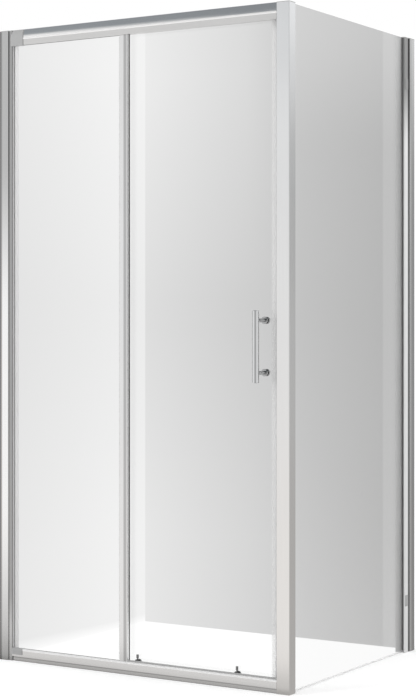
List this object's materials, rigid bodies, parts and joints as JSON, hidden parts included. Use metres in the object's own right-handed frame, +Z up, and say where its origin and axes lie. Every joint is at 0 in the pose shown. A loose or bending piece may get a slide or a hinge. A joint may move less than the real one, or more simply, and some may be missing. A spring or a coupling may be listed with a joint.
{
  "type": "shower enclosure with sliding door",
  "caption": "Corner shower enclosure: fixed pane and rolling glass door between header and sill, fixed side pane, aluminium posts, bar handle, sprung bottom wheels with release buttons.",
  "frame": {"origin": "on the floor, under the middle of the sill", "axes": "+X to the right along the front, +Y into the enclosure, +Z up"},
  "size_m": [1.0025, 0.835, 1.9],
  "materials": {
    "bright_aluminium": "polished anodised",
    "clear_glass": "clear toughened, 6 mm",
    "grey_plastic": "fine satin",
    "clear_seal": "clear PVC",
    "dark_rubber": "soft",
    "chrome": "polished",
    "steel": "plain",
    "dark_plastic": "moulded",
    "white_nylon": "moulded"
  },
  "bodies": {
    "root": {"front_wall_profile": "bright_aluminium", "front_wall_post": "bright_aluminium", "front_profile_cap": "grey_plastic", "front_post_cap": "grey_plastic", "header_rail": "bright_aluminium", "header_end_cap": "grey_plastic", "header_cover_strip": "bright_aluminium", "header_gasket": "dark_rubber", "sill_rail": "bright_aluminium", "sill_end_cap": "grey_plastic", "sill_cover_strip": "grey_plastic", "sill_gasket": "dark_rubber", "corner_post": "bright_aluminium", "corner_post_cap": "grey_plastic", "corner_magnet_strip": "clear_seal", "fixed_glass": "clear_glass", "fixed_post_gasket": "dark_rubber", "fixed_end_profile": "bright_aluminium", "frame_screws": "steel", "profile_screws": "steel", "door_bumpers": "dark_rubber", "side_wall_profile": "bright_aluminium", "side_wall_post": "bright_aluminium", "side_profile_cap": "grey_plastic", "side_post_cap": "grey_plastic", "side_screw_covers": "grey_plastic", "side_glass": "clear_glass", "side_corner_gasket": "dark_rubber", "side_post_gasket": "dark_rubber", "side_bottom_seal": "clear_seal"},
    "door": {"door_glass": "clear_glass", "door_trailing_profile": "bright_aluminium", "door_trailing_seal": "clear_seal", "door_magnet_seal": "clear_seal", "door_magnet": "dark_rubber", "handle_bar": "chrome", "handle_standoffs": "chrome", "handle_washers": "dark_rubber", "handle_studs": "steel", "handle_inner_knobs": "chrome", "top_carriages": "dark_plastic", "top_wheel_axles": "steel", "bottom_guides": "dark_plastic", "carriage_bolts": "chrome", "bolt_bushes": "dark_plastic", "release_spring_left": "steel", "release_spring_right": "steel"},
    "release_left": {"release_slider_left": "dark_plastic", "bottom_axles_left": "steel"},
    "release_right": {"release_slider_right": "dark_plastic", "bottom_axles_right": "steel"},
    "top_wheel_far_left": {"top_wheel_far_left": "white_nylon"},
    "bottom_wheel_far_left": {"bottom_wheel_far_left": "white_nylon"},
    "top_wheel_mid_left": {"top_wheel_mid_left": "white_nylon"},
    "bottom_wheel_mid_left": {"bottom_wheel_mid_left": "white_nylon"},
    "top_wheel_mid_right": {"top_wheel_mid_right": "white_nylon"},
    "bottom_wheel_mid_right": {"bottom_wheel_mid_right": "white_nylon"},
    "top_wheel_far_right": {"top_wheel_far_right": "white_nylon"},
    "bottom_wheel_far_right": {"bottom_wheel_far_right": "white_nylon"}
  },
  "joints": [
    {"name": "door_slide", "type": "slide", "parent": "root", "child": "door", "axis": [-1, 0, 0], "range_m": [0, 0.372]},
    {"name": "release_left_press", "type": "slide", "parent": "door", "child": "release_left", "axis": [0, 0, -1], "range_m": [0, 0.0045], "stiffness_N_per_m": 1500, "springref_m": -0.004, "deforming": ["release_spring_left"]},
    {"name": "release_right_press", "type": "slide", "parent": "door", "child": "release_right", "axis": [0, 0, -1], "range_m": [0, 0.0045], "stiffness_N_per_m": 1500, "springref_m": -0.004, "deforming": ["release_spring_right"]},
    {"name": "top_wheel_far_left_spin", "type": "hinge", "parent": "door", "child": "top_wheel_far_left", "pos_m": [-0.027, 0.002, 1.884], "axis": [0, 1, 0], "continuous": true},
    {"name": "bottom_wheel_far_left_spin", "type": "hinge", "parent": "release_left", "child": "bottom_wheel_far_left", "pos_m": [-0.029, 0.002, 0.018], "axis": [0, 1, 0], "continuous": true},
    {"name": "top_wheel_mid_left_spin", "type": "hinge", "parent": "door", "child": "top_wheel_mid_left", "pos_m": [-0.001, 0.002, 1.884], "axis": [0, 1, 0], "continuous": true},
    {"name": "bottom_wheel_mid_left_spin", "type": "hinge", "parent": "release_left", "child": "bottom_wheel_mid_left", "pos_m": [0.001, 0.002, 0.018], "axis": [0, 1, 0], "continuous": true},
    {"name": "top_wheel_mid_right_spin", "type": "hinge", "parent": "door", "child": "top_wheel_mid_right", "pos_m": [0.3075, 0.002, 1.884], "axis": [0, 1, 0], "continuous": true},
    {"name": "bottom_wheel_mid_right_spin", "type": "hinge", "parent": "release_right", "child": "bottom_wheel_mid_right", "pos_m": [0.3055, 0.002, 0.018], "axis": [0, 1, 0], "continuous": true},
    {"name": "top_wheel_far_right_spin", "type": "hinge", "parent": "door", "child": "top_wheel_far_right", "pos_m": [0.3335, 0.002, 1.884], "axis": [0, 1, 0], "continuous": true},
    {"name": "bottom_wheel_far_right_spin", "type": "hinge", "parent": "release_right", "child": "bottom_wheel_far_right", "pos_m": [0.3355, 0.002, 0.018], "axis": [0, 1, 0], "continuous": true}
  ],
  "couplings": [
    {"joint": "top_wheel_far_left_spin", "follows": "door_slide", "rad_per_m": -105.26},
    {"joint": "bottom_wheel_far_left_spin", "follows": "door_slide", "rad_per_m": 105.26},
    {"joint": "top_wheel_mid_left_spin", "follows": "door_slide", "rad_per_m": -105.26},
    {"joint": "bottom_wheel_mid_left_spin", "follows": "door_slide", "rad_per_m": 105.26},
    {"joint": "top_wheel_mid_right_spin", "follows": "door_slide", "rad_per_m": -105.26},
    {"joint": "bottom_wheel_mid_right_spin", "follows": "door_slide", "rad_per_m": 105.26},
    {"joint": "top_wheel_far_right_spin", "follows": "door_slide", "rad_per_m": -105.26},
    {"joint": "bottom_wheel_far_right_spin", "follows": "door_slide", "rad_per_m": 105.26}
  ]
}
